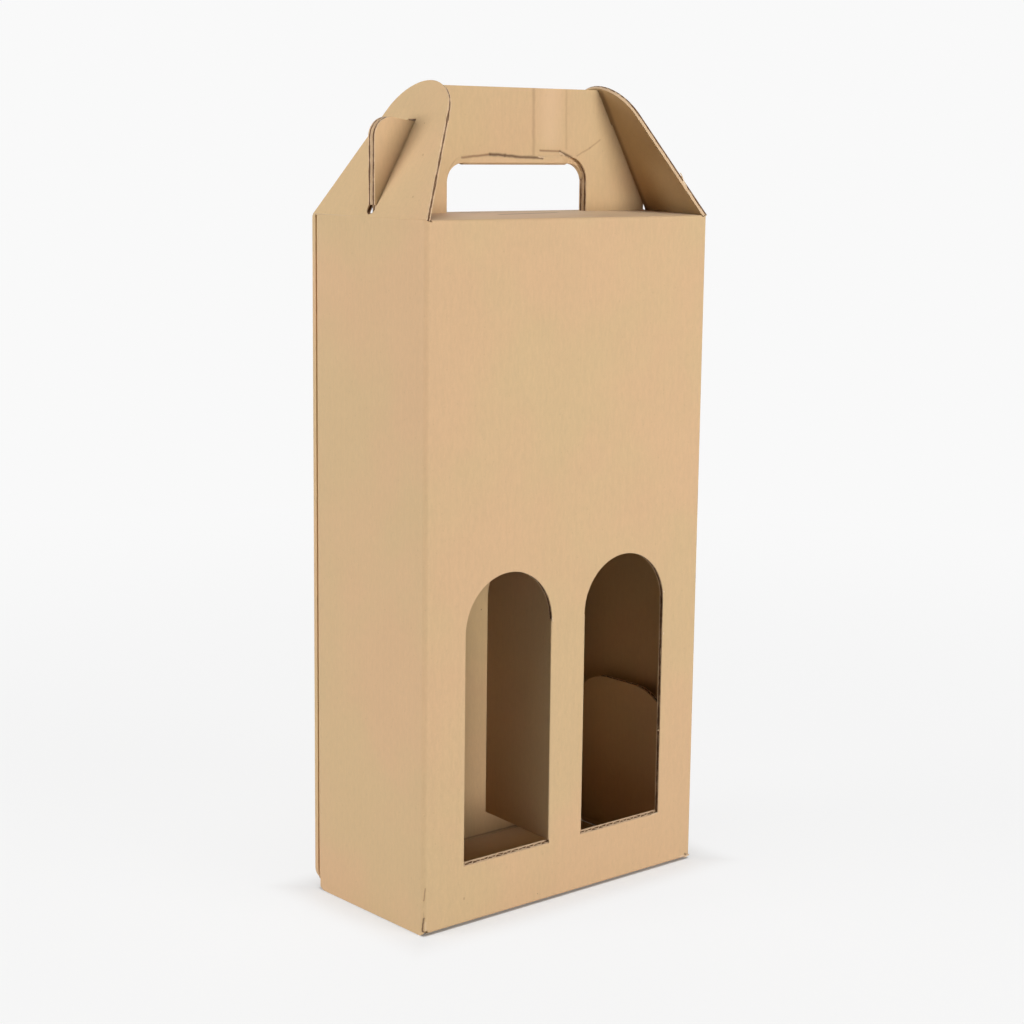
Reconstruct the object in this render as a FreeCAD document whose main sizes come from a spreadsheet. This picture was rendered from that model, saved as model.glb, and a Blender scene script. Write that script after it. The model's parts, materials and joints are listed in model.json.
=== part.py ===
import FreeCAD, Part
import math
import os
import re
import Sketcher

# Two-bottle gable carton, folded from one sheet of corrugated board.
# X runs along the front, the front faces -Y, Z is up. The origin is on the
# ground under the middle of the box.

Vector = FreeCAD.Vector
doc = FreeCAD.newDocument("GableCarton")

sizes = {
    # box, measured outside
    "width": 180,
    "depth": 88,
    "wall_height": 338,
    "board": 2.5,
    "clearance": 0.3,
    "corner_round": 2.2,
    "edge_round": 1.5,
    "glue_flap": 30,
    "seam_chamfer": 1.2,
    "foot_lift": 1.0,
    "heel_round": 10,
    "toe_round": 4,
    # dust flaps of the bottom
    "dust_foot": 1.0,
    "dust_step": 3.5,
    "dust_rise": 2.0,
    "dust_parting": 4,
    "dust_side": 9,
    "tuck_slot": 25,
    # shoulders and handle, heights above the top of the walls
    "shoulder_rise": 1.3,
    "panel_gap": 0.3,
    "handle_height": 61,
    "hole_width": 90,
    "hole_top": 28,
    "hole_round": 12,
    "hand_flap_width": 66,
    "hand_flap_rise": 21,
    "hand_flap_round": 8,
    "hand_flap_slack": 0.15,
    "tab_root": 5,
    "tab_foot": 5.5,
    "tab_reach": 2.3,
    "tab_height": 45.8,
    "tab_drop": 2.3,
    "tab_round": 9.5,
    # gable flaps
    "gable_lean": 30,
    "gable_length": 73,
    "gable_round": 24.5,
    "slit_foot": 1.5,
    # windows and the flaps cut from them
    "post_width": 21.4,
    "window_width": 54.6,
    "window_sill": 31,
    "window_spring": 143.6,
    "cut_gap": 0.4,
    "window_fold": 94.5,
    # bottom flap and its tongue
    "flap_inset": 6,
    "flap_side_gap": 0.5,
    "tongue_lean": 4,
    "tongue_play": 45,
    "tongue_height": 89.8,
    "tongue_round": 27,
}


def fill_sheet():
    sheet = doc.addObject("Spreadsheet::Sheet", "Sizes")
    for row, (alias, value) in enumerate(sizes.items(), start=1):
        sheet.set(f"A{row}", alias)
        sheet.set(f"B{row}", str(value))
        sheet.setAlias(f"B{row}", alias)
    doc.recompute()


def bound(expression):
    return re.sub(r"[a-z_]+", lambda word: f"Sizes.{word[0]}" if word[0] in sizes else word[0], expression)


# A float that takes any expression gives the first guess for a sketch.
def make_probe():
    gauge = doc.addObject("App::FeaturePython", "Gauge")
    gauge.addProperty("App::PropertyFloat", "Reading")
    return gauge


def measure(expression):
    probe.setExpression("Reading", bound(expression))
    probe.recompute()
    return probe.Reading


def new_body(name, place=("0", "0", "0"), axis=(0, 1, 0), turn="0"):
    body = doc.addObject("PartDesign::Body", name)
    body.Label = name
    body.Placement = FreeCAD.Placement(Vector(0, 0, 0), FreeCAD.Rotation(Vector(*axis), 1))
    for letter, expression in zip("xyz", place):
        body.setExpression(f"Placement.Base.{letter}", bound(expression))
    body.setExpression("Placement.Rotation.Angle", bound(turn))
    return body


def new_sketch(body, role, name, offset="0"):
    sketch = body.newObject("Sketcher::SketchObject", name)
    plane = next(item for item in body.Origin.OriginFeatures if item.Role == role)
    sketch.AttachmentSupport = [(plane, "")]
    sketch.MapMode = "FlatFace"
    sketch.setExpression("AttachmentOffset.Base.z", bound(offset))
    return sketch


def fix(sketch, kind, element, point, expression):
    number = sketch.addConstraint(Sketcher.Constraint(kind, -1, 1, element, point, measure(expression)))
    sketch.setExpression(f"Constraints[{number}]", bound(expression))


# Adds a line, or an arc round a centre, and returns the element and its two
# ends in the order of the path.
def add_segment(sketch, start, end, arc):
    if arc is None:
        return sketch.addGeometry(Part.LineSegment(Vector(*start, 0), Vector(*end, 0)), False), 1, 2
    centre = (measure(arc[0]), measure(arc[1]))
    circle = Part.Circle(Vector(*centre, 0), Vector(0, 0, 1), math.dist(centre, start))
    angles = [math.atan2(p[1] - centre[1], p[0] - centre[0]) for p in (start, end)]
    first, last = (1, 2) if arc[2] > 0 else (2, 1)
    element = sketch.addGeometry(Part.ArcOfCircle(circle, angles[first - 1], angles[last - 1]), False)
    return element, first, last


# A closed path. Each corner is fixed by its own two expressions. An arc leaves
# the corner it is keyed by, and its centre is fixed across the chord.
def outline(sketch, corners, arcs=None):
    arcs = arcs or {}
    points = [(measure(x), measure(y)) for x, y in corners]
    ends = points[1:] + points[:1]
    segments = [add_segment(sketch, a, b, arcs.get(i)) for i, (a, b) in enumerate(zip(points, ends))]
    for i, (element, start, _) in enumerate(segments):
        before, _, finish = segments[i - 1]
        sketch.addConstraint(Sketcher.Constraint("Coincident", before, finish, element, start))
        fix(sketch, "DistanceX", element, start, corners[i][0])
        fix(sketch, "DistanceY", element, start, corners[i][1])
    for i, arc in arcs.items():
        across = abs(ends[i][0] - points[i][0]) > abs(ends[i][1] - points[i][1])
        if across:
            fix(sketch, "DistanceY", segments[i][0], 3, arc[1])
        else:
            fix(sketch, "DistanceX", segments[i][0], 3, arc[0])


def extrude(body, kind, sketch, name, length, side="One side", flip=False):
    before = 0 if body.Shape.isNull() else body.Shape.Volume
    feature = body.newObject(f"PartDesign::{kind}", name)
    feature.Profile = sketch
    feature.SideType = side
    feature.Reversed = flip
    feature.setExpression("Length", bound(length))
    doc.recompute()
    change = feature.Shape.Volume - before
    if (change > 0) != (kind == "Pad") or abs(change) < 1e-3:
        raise ValueError(f"{name} changed the volume by {change:.3f}")


# A cut or a web whose profile is drawn on one plane and runs both ways from it.
def cut(body, role, name, corners, length, arcs=None, offset="0", kind="Pocket"):
    sketch = new_sketch(body, role, f"{name}_profile", offset)
    outline(sketch, corners, arcs)
    extrude(body, kind, sketch, name, length, side="Symmetric")


# At a fold the two boards meet on the line that halves the angle between them.
# This is how far that line runs along a board for each unit of its thickness.
def slant(fold):
    return f"tan(({fold}) / 2)"


def side_of(sign, text):
    return f"({sign}) * ({text})"


def carton_tube(body):
    sketch = new_sketch(body, "XY_Plane", "section")
    left, right, front, back = "-width / 2", "width / 2", "-depth / 2", "depth / 2"
    outline(
        sketch,
        [
            (f"{left} + corner_round", front),
            (f"{right} - corner_round", front),
            (right, f"{front} + corner_round"),
            (right, f"{back} - corner_round"),
            (f"{right} - corner_round", back),
            (left, back),
            (left, f"{back} - board"),
            (f"{left} + seam_chamfer", f"{back} - board"),
            (left, f"{back} - board - seam_chamfer"),
            (left, f"{front} + corner_round"),
        ],
        {
            1: (f"{right} - corner_round", f"{front} + corner_round", 1),
            3: (f"{right} - corner_round", f"{back} - corner_round", 1),
            9: (f"{left} + corner_round", f"{front} + corner_round", 1),
        },
    )
    # The glue flap of the left wall lies inside the back panel.
    outline(
        sketch,
        [
            (f"{left} + board", f"{front} + board"),
            (f"{right} - board", f"{front} + board"),
            (f"{right} - board", f"{back} - board"),
            (f"{left} + board + glue_flap", f"{back} - board"),
            (f"{left} + board + glue_flap", f"{back} - 2 * board"),
            (f"{left} + board", f"{back} - 2 * board"),
        ],
    )
    extrude(body, "Pad", sketch, "tube", "wall_height")
    cut(
        body, "XZ_Plane", "raised_foot",
        [
            ("-width / 2 + board", "-1"),
            ("width / 2 + 1", "-1"),
            ("width / 2 + 1", "foot_lift"),
            ("-width / 2 + board", "foot_lift"),
        ],
        "2 * depth",
    )


# The dust flaps leave the front and back walls low, step up over the bottom
# flap and rise a little to the middle.
def dust_flaps(body):
    for sign, name in ((-1, "dust_flap_front"), (1, "dust_flap_back")):
        top = "board + clearance"
        path = [
            ("depth / 2 - edge_round", "foot_lift"),
            ("depth / 2 - board - dust_foot", "foot_lift"),
            ("depth / 2 - board - dust_step", top),
            ("dust_parting / 2", f"{top} + dust_rise"),
            ("dust_parting / 2", f"{top} + dust_rise + board"),
            ("depth / 2 - board - dust_step", f"{top} + board"),
            ("depth / 2 - board", "foot_lift + board + dust_foot"),
            ("depth / 2 - edge_round", "foot_lift + board + dust_foot"),
        ]
        corners = [(side_of(sign, y), z) for y, z in path]
        cut(body, "YZ_Plane", name, corners, "width - 2 * board", kind="Pad")
    reach = "(depth / 2 - board)"
    cut(
        body, "XY_Plane", "dust_ends_left",
        [
            ("-width / 2 + board", f"-{reach}"),
            ("-width / 2 + dust_side", f"-{reach}"),
            ("-width / 2 + dust_side", reach),
            ("-width / 2 + board", reach),
        ],
        "4 * board + 2 * dust_rise + 2 * foot_lift",
    )
    slot = "(depth / 2 - board - dust_foot - clearance)"
    cut(
        body, "XY_Plane", "dust_ends_right",
        [
            ("width / 2 - board - tuck_slot", f"-{slot}"),
            ("width / 2 - board", f"-{slot}"),
            ("width / 2 - board", slot),
            ("width / 2 - board - tuck_slot", slot),
        ],
        "4 * board + 2 * dust_rise + 2 * foot_lift",
    )


# The long folds of the front and back walls are rounded outside.
def round_long_edges(body):
    for y_sign, side in ((-1, "front"), (1, "back")):
        for z_sign, level, end in ((-1, "foot_lift", "foot"), (1, "wall_height", "top")):
            edge, height = "depth / 2", f"{level} - ({z_sign}) * edge_round"
            path = [
                (f"{edge} - edge_round", level),
                (f"{edge} - edge_round", f"{level} + ({z_sign})"),
                (f"{edge} + 1", f"{level} + ({z_sign})"),
                (f"{edge} + 1", height),
                (edge, height),
            ]
            corners = [(side_of(y_sign, y), z) for y, z in path]
            centre = (side_of(y_sign, f"{edge} - edge_round"), height, y_sign * z_sign)
            cut(body, "YZ_Plane", f"{side}_{end}_round", corners, "2 * width", {4: centre})


def shoulders(body):
    inner = "board + panel_gap / 2"
    for sign, name in ((-1, "shoulder_front"), (1, "shoulder_back")):
        path = [
            ("depth / 2 - edge_round", "wall_height"),
            (inner, "wall_height + shoulder_rise"),
            ("panel_gap / 2", "wall_height + shoulder_rise"),
            ("panel_gap / 2", "wall_height + shoulder_rise - board"),
            ("depth / 2 - board", "wall_height - board"),
            ("depth / 2 - edge_round", "wall_height - board"),
        ]
        corners = [(side_of(sign, y), z) for y, z in path]
        edge = "board / cos(gable_lean) + shoulder_rise * tan(gable_lean) + clearance"
        cut(body, "YZ_Plane", name, corners, f"width - 2 * ({edge})", kind="Pad")


# Distance of a gable flap's inner face from the side wall's plane, at a height
# above the walls, with the running clearance on top.
def inside_gable(height):
    return f"(({height}) * tan(gable_lean) + (board + clearance) / cos(gable_lean))"


# Each handle panel has a tab at both ends that stands out through the slit of
# a gable flap. Above the slit the panel ends along the flap's inner face.
def handle_outline(sketch):
    neck = "(tab_height - tab_drop)"
    arm = [
        ("width / 2 - tab_root", "shoulder_rise - board"),
        ("width / 2 - tab_root", "tab_foot"),
        ("width / 2 - tab_reach", "tab_foot"),
        ("width / 2 - tab_reach", "tab_height - tab_round"),
        ("width / 2 - tab_reach - tab_round", "tab_height"),
        (f"width / 2 - {inside_gable(neck)}", neck),
        (f"width / 2 - {inside_gable('handle_height')}", "handle_height"),
    ]
    right = [(x, f"wall_height + {z}") for x, z in arm]
    left = [(side_of(-1, x), z) for x, z in reversed(right)]
    centre = "width / 2 - tab_reach - tab_round"
    level = "wall_height + tab_height - tab_round"
    outline(sketch, right + left, {3: (centre, level, 1), 9: (side_of(-1, centre), level, 1)})
    hand_hole(sketch)


def hand_hole(sketch):
    half, top = "hole_width / 2", "wall_height + hole_top"
    outline(
        sketch,
        [
            (f"-{half}", "wall_height + shoulder_rise"),
            (half, "wall_height + shoulder_rise"),
            (half, f"{top} - hole_round"),
            (f"{half} - hole_round", top),
            (f"-{half} + hole_round", top),
            (f"-{half}", f"{top} - hole_round"),
        ],
        {
            2: (f"{half} - hole_round", f"{top} - hole_round", 1),
            4: (f"-{half} + hole_round", f"{top} - hole_round", 1),
        },
    )


def handle_panels(body):
    for sign, name in ((-1, "handle_front"), (1, "handle_back")):
        sketch = new_sketch(body, "XZ_Plane", f"{name}_outline", side_of(-sign, "panel_gap / 2"))
        handle_outline(sketch)
        extrude(body, "Pad", sketch, name, "board", flip=sign > 0)


# The piece cut from the hand hole hangs on the front panel, rolls under the
# top of the hole and stands behind the back panel.
def hand_flap(body):
    near, far = "(-panel_gap / 2 - board)", "(panel_gap / 2 + 2 * board + hand_flap_slack)"
    level = "wall_height + hole_top"
    middle = f"({near} + {far}) / 2"
    cut(
        body, "YZ_Plane", "hand_flap",
        [
            (near, f"{level} + board"),
            (near, level),
            (far, level),
            (far, f"{level} + hand_flap_rise"),
            (f"{far} - board", f"{level} + hand_flap_rise"),
            (f"{far} - board", level),
            (f"{near} + board", level),
            (f"{near} + board", f"{level} + board"),
        ],
        "hand_flap_width",
        {1: (middle, level, 1), 5: (middle, level, -1)},
        kind="Pad",
    )
    half, top = "hand_flap_width / 2", f"{level} + hand_flap_rise"
    for sign, name in ((-1, "hand_flap_end_left"), (1, "hand_flap_end_right")):
        path = [
            (half, f"{top} - hand_flap_round"),
            (f"{half} + 1", f"{top} - hand_flap_round"),
            (f"{half} + 1", f"{top} + 1"),
            (f"{half} - hand_flap_round", f"{top} + 1"),
            (f"{half} - hand_flap_round", top),
        ]
        corners = [(side_of(sign, x), z) for x, z in path]
        centre = (side_of(sign, f"{half} - hand_flap_round"), f"{top} - hand_flap_round", -sign)
        offset = f"-({far} - board / 2)"
        cut(body, "XZ_Plane", name, corners, "board + hand_flap_slack", {4: centre}, offset)


def windows(body):
    for sign, side in ((-1, "left"), (1, "right")):
        jamb, far = "post_width / 2", "post_width / 2 + window_width"
        path = [(jamb, "window_sill"), (far, "window_sill"), (far, "window_spring"), (jamb, "window_spring")]
        corners = [(side_of(sign, x), z) for x, z in path]
        arcs = {2: (side_of(sign, f"{jamb} + window_width / 2"), "window_spring", sign)}
        cut(body, "XZ_Plane", f"window_{side}", corners, "2 * board", arcs, "depth / 2 - board / 2")
        run = slant("window_fold")
        path = [
            (f"{jamb} + 1", "-depth / 2"),
            (f"{jamb} - clearance / 2", "-depth / 2"),
            (f"{jamb} - clearance / 2 - {run} * 1.2 * board", "-depth / 2 + 1.2 * board"),
            (f"{jamb} + 1", "-depth / 2 + 1.2 * board"),
        ]
        sketch = new_sketch(body, "XY_Plane", f"jamb_{side}_profile", "window_sill")
        outline(sketch, [(side_of(sign, x), y) for x, y in path])
        extrude(body, "Pocket", sketch, f"jamb_{side}", "window_spring - window_sill + clearance", flip=True)


# Bevels along the two gable folds and along the fold of the bottom flap.
def fold_bevels(body):
    run = slant("gable_lean")
    edge = "wall_height - clearance / 2"
    for sign, name in ((-1, "gable_bevel_left"), (1, "gable_bevel_right")):
        path = [
            ("width / 2 + 1", f"{edge} + {run}"),
            ("width / 2 - board - 1", f"{edge} - {run} * (board + 1)"),
            ("width / 2 - board - 1", "wall_height + 1"),
            ("width / 2 + 1", "wall_height + 1"),
        ]
        cut(body, "XZ_Plane", name, [(side_of(sign, x), z) for x, z in path], "2 * depth")
    cut(
        body, "XZ_Plane", "foot_bevel",
        [
            ("-width / 2 - 1", "clearance - 1"),
            ("-width / 2 - 1", "-2"),
            ("-width / 2 + board", "-2"),
            ("-width / 2 + board", "board + clearance"),
        ],
        "2 * depth",
    )


# The lower corners of the left wall are rounded, the rear one more, and so is
# the corner of the back panel beside it.
def foot_corners(body):
    cut(
        body, "XZ_Plane", "back_heel",
        [
            ("-width / 2 + heel_round", "foot_lift - 1"),
            ("-width / 2 - 1", "foot_lift - 1"),
            ("-width / 2 - 1", "foot_lift + heel_round"),
            ("-width / 2", "foot_lift + heel_round"),
            ("-width / 2 + heel_round", "foot_lift"),
        ],
        "4 * board",
        {3: ("-width / 2 + heel_round", "foot_lift + heel_round", 1)},
        "-depth / 2 - board / 4",
    )
    for sign, size, name in ((1, "heel_round", "heel"), (-1, "toe_round", "toe")):
        path = [
            (f"depth / 2 - {size}", "-1"),
            ("depth / 2 + 1", "-1"),
            ("depth / 2 + 1", size),
            ("depth / 2", size),
            (f"depth / 2 - {size}", "0"),
        ]
        corners = [(side_of(sign, y), z) for y, z in path]
        centre = (side_of(sign, f"depth / 2 - {size}"), size, -sign)
        cut(body, "YZ_Plane", name, corners, "2 * board", {3: centre}, "-width / 2")


def carton():
    body = new_body("carton")
    carton_tube(body)
    round_long_edges(body)
    dust_flaps(body)
    shoulders(body)
    handle_panels(body)
    hand_flap(body)
    windows(body)
    fold_bevels(body)
    foot_corners(body)
    return body


# A gable flap is drawn upright on its fold and leans in by its placement.
def gable_flap(sign, name):
    place = (side_of(sign, "width / 2"), "0", "wall_height")
    body = new_body(name, place, turn=side_of(-sign, "gable_lean"))
    half, rise = "(depth / 2 - clearance)", "(gable_length - gable_round)"
    angle = f"(acos(gable_round / hypot({half}; {rise})) - atan2({rise}; {half}))"
    side, level = f"gable_round * cos({angle})", f"{rise} + gable_round * sin({angle})"
    sketch = new_sketch(body, "YZ_Plane", "outline")
    corners = [(f"-{half}", "0"), (half, "0"), (side, level), (f"-{side}", level)]
    outline(sketch, corners, {2: ("0", rise, 1)})
    extrude(body, "Pad", sketch, "flap", "board", flip=sign > 0)
    # The slit is wide enough for both handle panels. Its foot is the eye.
    slit = "(board + panel_gap / 2 + clearance)"
    neck = "(tab_height - tab_drop)"
    top = f"({neck} + (board + clearance) * sin(gable_lean)) / cos(gable_lean) + clearance"
    eye = f"slit_foot + {slit}"
    corners = [(f"-{slit}", top), (f"-{slit}", eye), (slit, eye), (slit, top)]
    cut(body, "YZ_Plane", "slit", corners, "3 * board", {1: ("0", eye, 1)})
    run = slant("gable_lean")
    path = [
        ("1", "-1"),
        ("1", f"clearance / 2 - {run}"),
        ("-1.2 * board", f"clearance / 2 + {run} * 1.2 * board"),
        ("-1.2 * board", "-1"),
    ]
    cut(body, "XZ_Plane", "fold_bevel", [(side_of(sign, x), z) for x, z in path], "2 * depth")
    return body


# A window flap is drawn shut in its window and folds in by its placement.
def window_flap(sign, name):
    place = (side_of(sign, "post_width / 2"), "-depth / 2", "0")
    body = new_body(name, place, axis=(0, 0, 1), turn=side_of(sign, "window_fold"))
    low, far, ease = "window_sill + cut_gap", "window_width - cut_gap", "(board + clearance)"
    spring, middle = "window_spring", "window_width / 2"
    rise, half = f"({middle} - cut_gap)", f"({middle} - {ease})"
    path = [("0", low), (far, low), (far, spring), (middle, f"{spring} + {rise}"), (ease, spring), ("0", spring)]
    sketch = new_sketch(body, "XZ_Plane", "outline")
    # Near the fold the arch is drawn in, so that it swings clear of the board round it.
    eased = f"{spring} + ({rise} * {rise} - {half} * {half}) / (2 * {rise})"
    arcs = {2: (side_of(sign, middle), spring, sign), 3: (side_of(sign, middle), eased, sign)}
    outline(sketch, [(side_of(sign, x), z) for x, z in path], arcs)
    extrude(body, "Pad", sketch, "flap", "board", flip=True)
    run = slant("window_fold")
    path = [
        ("-1", "-1"),
        (f"clearance / 2 - {run}", "-1"),
        (f"clearance / 2 + {run} * 1.2 * board", "1.2 * board"),
        ("-1", "1.2 * board"),
    ]
    cut(body, "XY_Plane", "fold_bevel", [(side_of(sign, x), y) for x, y in path], "2 * wall_height")
    return body


def flap_half():
    return "(depth / 2 - board - dust_step - flap_side_gap)"


# The tongue's fold is crushed wide inside, so that the tongue can fold further
# in while the flap is pulled out.
def tongue_slant():
    return slant("90 + tongue_lean + tongue_play")


# The bottom flap hangs on the left wall and passes under the dust flaps.
def bottom_flap():
    body = new_body("bottom_flap", ("-width / 2", "0", "0"))
    long, half = "(width - board - clearance)", flap_half()
    sketch = new_sketch(body, "XY_Plane", "outline")
    corners = [
        ("0", "-depth / 2 + toe_round"),
        ("flap_inset", f"-{half}"),
        (long, f"-{half}"),
        (long, half),
        ("flap_inset", half),
        ("0", "depth / 2 - heel_round"),
    ]
    outline(sketch, corners)
    extrude(body, "Pad", sketch, "flap", "board")
    cut(
        body, "XZ_Plane", "wall_bevel",
        [
            ("-1", "-1 - clearance"),
            ("1.2 * board", "1.2 * board - clearance"),
            ("-1", "1.2 * board - clearance"),
        ],
        "2 * depth",
    )
    run = tongue_slant()
    cut(
        body, "XZ_Plane", "tongue_bevel",
        [
            (f"{long} + 2 * board", "-1"),
            (f"{long} - clearance / 2 + {run}", "-1"),
            (f"{long} - clearance / 2 - {run} * 1.2 * board", "1.2 * board"),
            (f"{long} + 2 * board", "1.2 * board"),
        ],
        "2 * depth",
    )
    return body


# The tongue stands on the far end of the bottom flap, inside the right wall.
def tuck_tongue():
    place = ("width / 2 - board - clearance", "0", "0")
    body = new_body("tuck_tongue", place, turn="-tongue_lean")
    half, shoulder = flap_half(), "tongue_height - tongue_round"
    flat = f"({half} - tongue_round)"
    sketch = new_sketch(body, "YZ_Plane", "outline")
    corners = [
        (f"-{half}", "0"),
        (half, "0"),
        (half, shoulder),
        (flat, "tongue_height"),
        (f"-{flat}", "tongue_height"),
        (f"-{half}", shoulder),
    ]
    outline(sketch, corners, {2: (flat, shoulder, 1), 4: (f"-{flat}", shoulder, 1)})
    extrude(body, "Pad", sketch, "tongue", "board", flip=True)
    run = tongue_slant()
    cut(
        body, "XZ_Plane", "fold_bevel",
        [
            ("1", "-2 * board"),
            ("1", f"clearance / 2 - {run}"),
            ("-1.2 * board", f"clearance / 2 + {run} * 1.2 * board"),
            ("-1.2 * board", "-2 * board"),
        ],
        "2 * depth",
    )
    return body


def write_parts(bodies):
    for item in doc.Objects:
        if "Invalid" in item.State or "Error" in item.State:
            raise ValueError(f"{item.Label} failed: {item.State}")
    for body in bodies:
        if body.Shape.isNull() or not body.Shape.isValid() or len(body.Shape.Solids) != 1:
            raise ValueError(f"{body.Label} is not one valid solid")
    os.makedirs("parts", exist_ok=True)
    for body in bodies:
        body.Shape.exportStep(f"parts/{body.Label}.step")
        print(body.Label, round(body.Shape.Volume / 1000, 2), "cm3")


fill_sheet()
probe = make_probe()
bodies = [
    carton(),
    gable_flap(-1, "gable_flap_left"),
    gable_flap(1, "gable_flap_right"),
    window_flap(-1, "window_flap_left"),
    window_flap(1, "window_flap_right"),
    bottom_flap(),
    tuck_tongue(),
]
doc.recompute()
write_parts(bodies)
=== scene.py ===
import json
import math
import bmesh
import bpy
from mathutils import Matrix, Vector, noise


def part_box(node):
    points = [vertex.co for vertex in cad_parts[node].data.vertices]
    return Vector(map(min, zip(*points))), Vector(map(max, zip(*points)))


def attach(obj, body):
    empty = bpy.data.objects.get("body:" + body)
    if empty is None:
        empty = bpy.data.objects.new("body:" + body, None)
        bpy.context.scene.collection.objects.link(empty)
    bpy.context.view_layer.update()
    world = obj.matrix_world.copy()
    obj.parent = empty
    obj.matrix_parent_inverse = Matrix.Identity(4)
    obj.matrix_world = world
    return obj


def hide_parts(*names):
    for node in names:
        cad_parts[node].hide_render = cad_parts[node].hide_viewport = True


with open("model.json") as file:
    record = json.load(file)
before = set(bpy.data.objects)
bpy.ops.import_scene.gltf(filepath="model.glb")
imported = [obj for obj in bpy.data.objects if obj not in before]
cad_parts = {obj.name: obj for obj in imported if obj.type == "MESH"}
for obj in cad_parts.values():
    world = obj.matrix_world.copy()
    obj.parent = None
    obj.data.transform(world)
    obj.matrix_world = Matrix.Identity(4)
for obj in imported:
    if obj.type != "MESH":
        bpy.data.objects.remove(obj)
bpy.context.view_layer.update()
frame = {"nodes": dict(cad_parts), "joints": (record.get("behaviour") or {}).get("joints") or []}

# Driving places, read from the frame. Metres.
cartonLow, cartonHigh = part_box("carton")
pivots = {joint["name"]: Vector(joint["pos_m"]) for joint in frame["joints"]}
wallTop = pivots["gable_hinge_left"].z
postEdge = pivots["window_hinge_right"].x
sides = (("left", -1), ("right", 1))

# The board and how it stands in the frame. Metres and radians.
sizes = {
    "board": 0.0025,
    "flutePitch": 0.0049,
    "gableLean": math.radians(30),
    "windowFold": math.radians(94.5),
    "tongueLean": math.radians(4),
    "handlePlane": 0.00265,
    "handFlapPlane": 0.0053,
    "edgeSoftness": 0.0002,
}
board = sizes["board"]


# Shader trees are built with short calls. Each value is a number or another node's socket.
def addNode(tree, kind, settings=None, values=None):
    node = tree.nodes.new(kind)
    for name, value in (settings or {}).items():
        setattr(node, name, value)
    for key, value in (values or {}).items():
        if isinstance(value, bpy.types.NodeSocket):
            tree.links.new(value, node.inputs[key])
        else:
            node.inputs[key].default_value = value
    return node


def addGroup(tree, group, values):
    return addNode(tree, "ShaderNodeGroup", {"node_tree": group}, values)


def math2(tree, operation, first, second=0.0, clamp=False):
    settings = {"operation": operation, "use_clamp": clamp}
    return addNode(tree, "ShaderNodeMath", settings, {0: first, 1: second}).outputs[0]


def vector2(tree, operation, first, second=(0, 0, 0), scale=None):
    values = {0: first, 1: second} if scale is None else {0: first, "Scale": scale}
    return addNode(tree, "ShaderNodeVectorMath", {"operation": operation}, values).outputs


def noiseAt(tree, place, scale, detail=2.0, roughness=0.5):
    values = {"Vector": place, "Scale": scale, "Detail": detail, "Roughness": roughness}
    return addNode(tree, "ShaderNodeTexNoise", None, values).outputs


def cellsAt(tree, place, scale):
    return addNode(tree, "ShaderNodeTexVoronoi", None, {"Vector": place, "Scale": scale}).outputs


def ramp(tree, value, low, high, outLow=0.0, outHigh=1.0):
    settings = {"interpolation_type": "SMOOTHSTEP"}
    values = {"Value": value, "From Min": low, "From Max": high, "To Min": outLow, "To Max": outHigh}
    return addNode(tree, "ShaderNodeMapRange", settings, values).outputs["Result"]


def mixColour(tree, factor, first, second, blend="MIX"):
    settings = {"data_type": "RGBA", "blend_type": blend}
    return addNode(tree, "ShaderNodeMix", settings, {0: factor, 6: first, 7: second}).outputs[2]


def spread(tree, value, amount):  # a noise value turned about zero
    return math2(tree, "MULTIPLY", math2(tree, "SUBTRACT", value, 0.5), amount)


def total(tree, values):
    result = values[0]
    for value in values[1:]:
        result = math2(tree, "ADD", result, value)
    return result


def newGroup(name, inputs, outputs):
    group = bpy.data.node_groups.new(name, "ShaderNodeTree")
    for label, kind, default in inputs:
        socket = group.interface.new_socket(label, in_out="INPUT", socket_type=kind)
        socket.default_value = default
    for label, kind in outputs:
        group.interface.new_socket(label, in_out="OUTPUT", socket_type=kind)
    source = group.nodes.new("NodeGroupInput")
    target = group.nodes.new("NodeGroupOutput")
    return group, source.outputs, target.inputs


# Kraft paper: cloudy pulp, long fibres, dark and light flecks, and faint painted shade stripes over the
# flutes for the washboard ripples.
pulp = {
    "cloudScale": 38.0,
    "fibreStretch": (900, 900, 260),
    "fineScale": 2600.0,
    "darkScale": 210.0,
    "lightScale": 330.0,
    "speckScale": 62.0,
    "speckSize": 0.030,
    "patchScale": 11.0,
    "coolPatch": (0.985, 1.005, 0.985, 1),
    "warmPatch": (1.03, 0.985, 1.0, 1),
    "fibre": 0.16,
    "fine": 0.10,
    "dark": -0.07,
    "light": 0.05,
    "speck": -0.45,
}


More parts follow.
